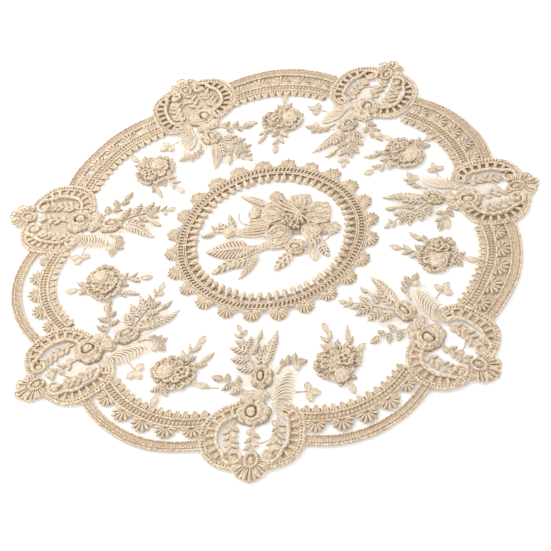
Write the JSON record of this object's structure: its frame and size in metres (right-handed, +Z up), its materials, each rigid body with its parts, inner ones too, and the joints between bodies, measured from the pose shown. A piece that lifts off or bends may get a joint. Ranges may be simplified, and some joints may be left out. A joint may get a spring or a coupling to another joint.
{
  "type": "lace doily",
  "caption": "Round embroidered lace doily that lies flat, with a scalloped edge of scrolled cartouches, a braided border, flower sprays and a ringed centre flower on sheer net.",
  "frame": {"origin": "centre of the underside of the net ground, on the table", "axes": "+Z up out of the face, -Y through the middle of the first cartouche"},
  "size_m": [0.39, 0.3818, 0.0045],
  "materials": {
    "net": "sheer hexagonal net of fine ecru thread, matt",
    "tape": "ribbed ecru tape with corded edges, soft satin",
    "braid": "corded ecru braid and ladder stitch, soft satin",
    "flower": "raised ecru embroidery in knots and satin stitch, soft satin",
    "leaf": "ecru satin stitch, soft satin"
  },
  "bodies": {
    "root": {"net_ground": "net", "centre_ring": "braid", "centre_spray": "flower", "tape_1": "tape", "tape_2": "tape", "tape_3": "tape", "tape_4": "tape", "tape_5": "tape", "tape_6": "tape", "tape_7": "tape", "band_1": "braid", "band_2": "braid", "band_3": "braid", "band_4": "braid", "band_5": "braid", "band_6": "braid", "band_7": "braid", "scroll_left_1": "braid", "scroll_left_2": "braid", "scroll_left_3": "braid", "scroll_left_4": "braid", "scroll_left_5": "braid", "scroll_left_6": "braid", "scroll_left_7": "braid", "scroll_right_1": "braid", "scroll_right_2": "braid", "scroll_right_3": "braid", "scroll_right_4": "braid", "scroll_right_5": "braid", "scroll_right_6": "braid", "scroll_right_7": "braid", "shell_1": "braid", "shell_2": "braid", "shell_3": "braid", "shell_4": "braid", "shell_5": "braid", "shell_6": "braid", "shell_7": "braid", "rose_spray_1": "flower", "rose_spray_2": "flower", "rose_spray_3": "flower", "rose_spray_4": "flower", "rose_spray_5": "flower", "rose_spray_6": "flower", "rose_spray_7": "flower", "bouquet_1": "flower", "bouquet_2": "flower", "bouquet_3": "flower", "bouquet_4": "flower", "bouquet_5": "flower", "bouquet_6": "flower", "bouquet_7": "flower", "sprigs_1": "leaf", "sprigs_2": "leaf", "sprigs_3": "leaf", "sprigs_4": "leaf", "sprigs_5": "leaf", "sprigs_6": "leaf", "sprigs_7": "leaf"}
  },
  "joints": []
}
